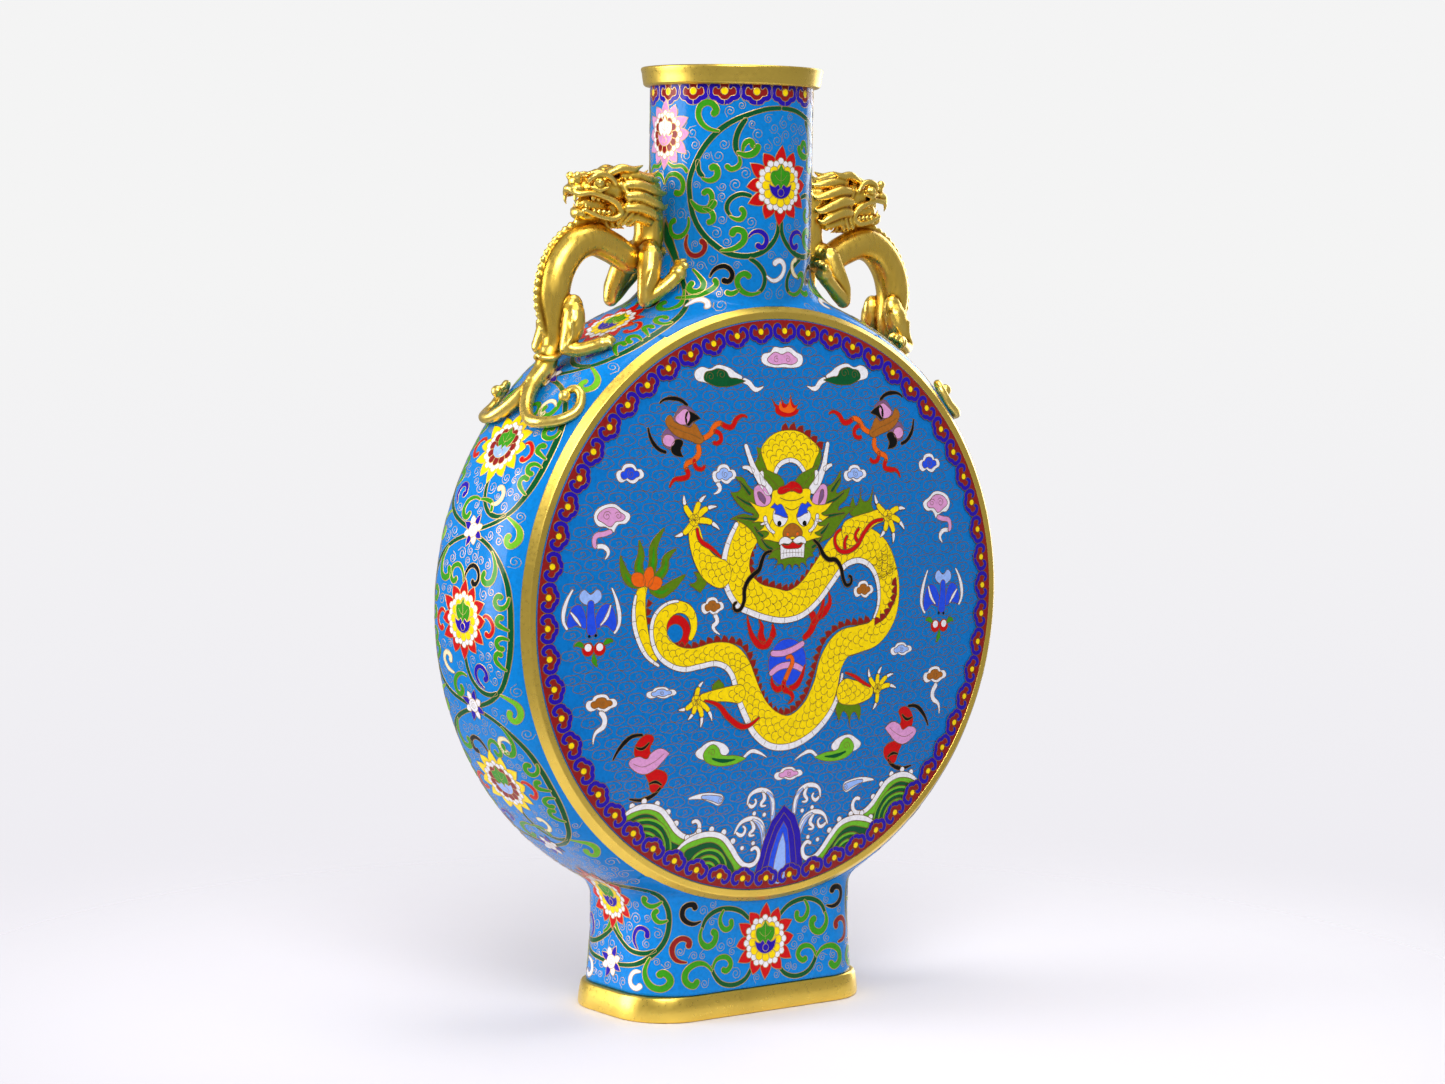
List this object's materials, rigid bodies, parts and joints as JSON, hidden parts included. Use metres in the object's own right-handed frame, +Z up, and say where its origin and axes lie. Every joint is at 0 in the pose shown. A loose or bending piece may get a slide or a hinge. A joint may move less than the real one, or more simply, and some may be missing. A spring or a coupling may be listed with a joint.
{
  "type": "cloisonne moon flask vase",
  "caption": "Round-bodied cloisonne moon flask vase with a round neck, an oblong foot, gilt rings and two gilt beast handles.",
  "frame": {"origin": "centre of the foot on the surface the vase stands on", "axes": "+Z up, -Y towards the front panel, +X to the right seen from the front"},
  "size_m": [0.334, 0.1108, 0.5],
  "materials": {
    "gilt": "brushed and gilded copper",
    "gilt_casting": "cast, chased and gilded",
    "blue_enamel": "polished vitreous enamel over copper",
    "panel_enamel": "polished vitreous enamel over copper",
    "base_enamel": "plain counter enamel",
    "copper": "bare turned metal"
  },
  "bodies": {
    "root": {"mouth_rim": "gilt", "neck": "blue_enamel", "right_side_band": "blue_enamel", "left_side_band": "blue_enamel", "front_panel": "panel_enamel", "rear_panel": "panel_enamel", "front_ring": "gilt", "rear_ring": "gilt", "foot_wall": "blue_enamel", "foot_rim": "gilt", "base_plate": "base_enamel", "right_beast_torso": "gilt_casting", "left_beast_torso": "gilt_casting", "right_beast_head": "gilt_casting", "left_beast_head": "gilt_casting", "right_beast_front_foreleg": "gilt_casting", "left_beast_front_foreleg": "gilt_casting", "right_beast_rear_foreleg": "gilt_casting", "left_beast_rear_foreleg": "gilt_casting", "right_beast_front_hind_leg": "gilt_casting", "left_beast_front_hind_leg": "gilt_casting", "right_beast_rear_hind_leg": "gilt_casting", "left_beast_rear_hind_leg": "gilt_casting", "right_beast_tail": "gilt_casting", "left_beast_tail": "gilt_casting", "right_neck_stud": "copper", "left_neck_stud": "copper", "right_neck_nut": "copper", "left_neck_nut": "copper", "right_band_stud": "copper", "left_band_stud": "copper", "right_band_nut": "copper", "left_band_nut": "copper"}
  },
  "joints": []
}
